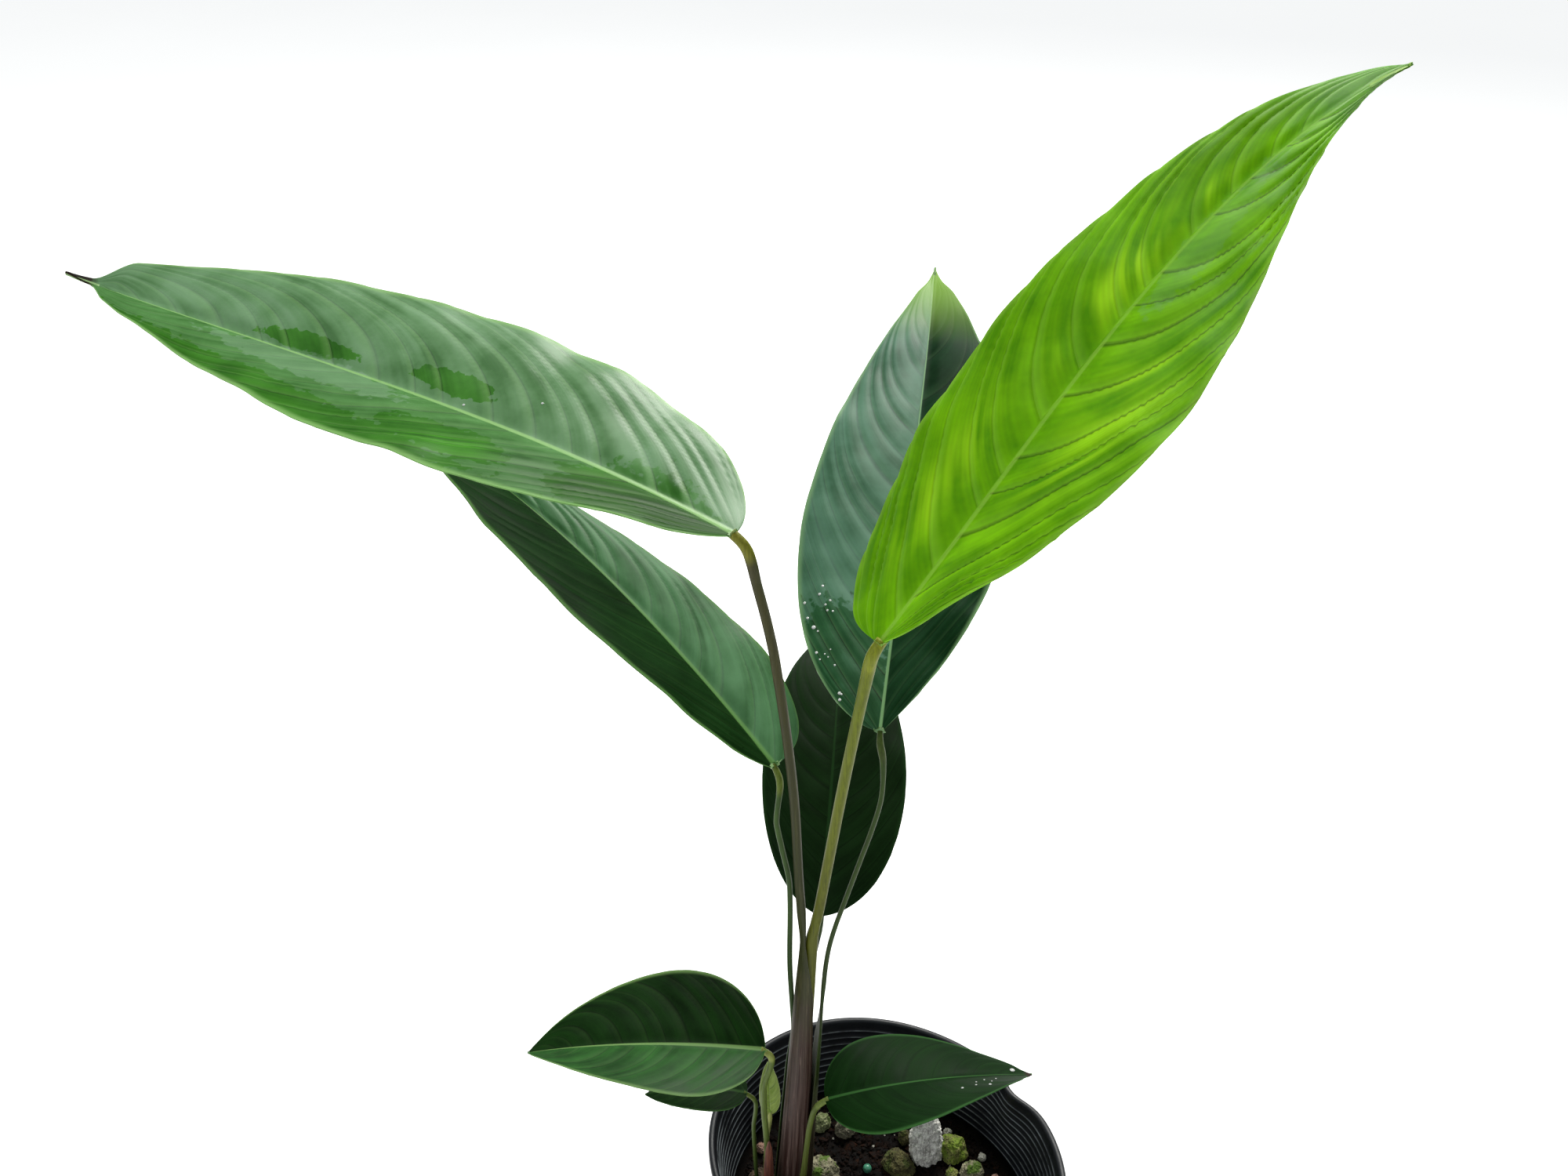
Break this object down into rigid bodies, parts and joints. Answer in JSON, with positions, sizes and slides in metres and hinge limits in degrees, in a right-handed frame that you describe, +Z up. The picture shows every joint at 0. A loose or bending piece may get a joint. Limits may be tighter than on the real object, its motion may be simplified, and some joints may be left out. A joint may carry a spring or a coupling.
{
  "type": "potted calathea",
  "caption": "Leafy broad-bladed houseplant with a leaning sheathed stem and low side shoots, rooted in soil and pumice in a thin round nursery pot.",
  "frame": {"origin": "centre of the pot's underside, on the surface it stands on", "axes": "+Z up along the pot's axis; +X towards the side the tallest light green leaf leans to; -Y towards the viewer"},
  "size_m": [0.5034, 0.3137, 0.5977],
  "materials": {
    "pot_plastic": "thin moulded polyethylene, finely ribbed, satin black",
    "potting_soil": "damp dark peat with bark fragments",
    "rhizome": "matt, fleshy",
    "leaf": "waxy satin, pleated between veins",
    "leaf_light": "young leaf, thin, lets light through",
    "petiole": "smooth, satin, olive green",
    "sheath": "smooth, purple brown, finely streaked",
    "dry_sheath": "dry, papery, red brown",
    "pumice": "rough, pitted",
    "pumice_mossy": "rough, with a film of green algae",
    "fibre_lump": "pale, fibrous, mouldy bark",
    "fertiliser": "coated bead, slight gloss"
  },
  "bodies": {
    "root": {"pot": "pot_plastic", "soil": "potting_soil", "rhizome": "rhizome", "blade_upper_left": "leaf", "blade_upper_right": "leaf_light", "blade_back": "leaf", "blade_mid_left": "leaf", "blade_inner": "leaf", "blade_lower_left": "leaf", "blade_lower_right": "leaf", "blade_small": "leaf", "blade_young": "leaf_light", "petiole_upper_left": "sheath", "petiole_upper_right": "petiole", "petiole_back": "sheath", "petiole_mid_left": "sheath", "petiole_inner": "sheath", "petiole_lower_left": "petiole", "petiole_lower_right": "petiole", "petiole_small": "petiole", "petiole_young": "petiole", "scale_leaf": "dry_sheath", "stone_pale_back": "pumice", "stone_green_back": "pumice_mossy", "stone_pitted": "pumice", "stone_mossy": "pumice_mossy", "stone_olive": "pumice_mossy", "stone_olive_small": "pumice_mossy", "stone_fibrous": "fibre_lump", "stone_moss_right": "pumice_mossy", "stone_yellow": "pumice_mossy", "stone_moss_low": "pumice_mossy", "stone_white": "pumice", "stone_pink": "pumice", "stone_white_back": "pumice", "stone_brown_left": "pumice", "stone_pink_left": "pumice", "stone_front_pale": "pumice", "stone_front_olive": "pumice_mossy", "stone_front_moss": "pumice_mossy", "stone_front_small": "pumice", "stone_front_grey": "pumice", "fertiliser_bead": "fertiliser"}
  },
  "joints": []
}
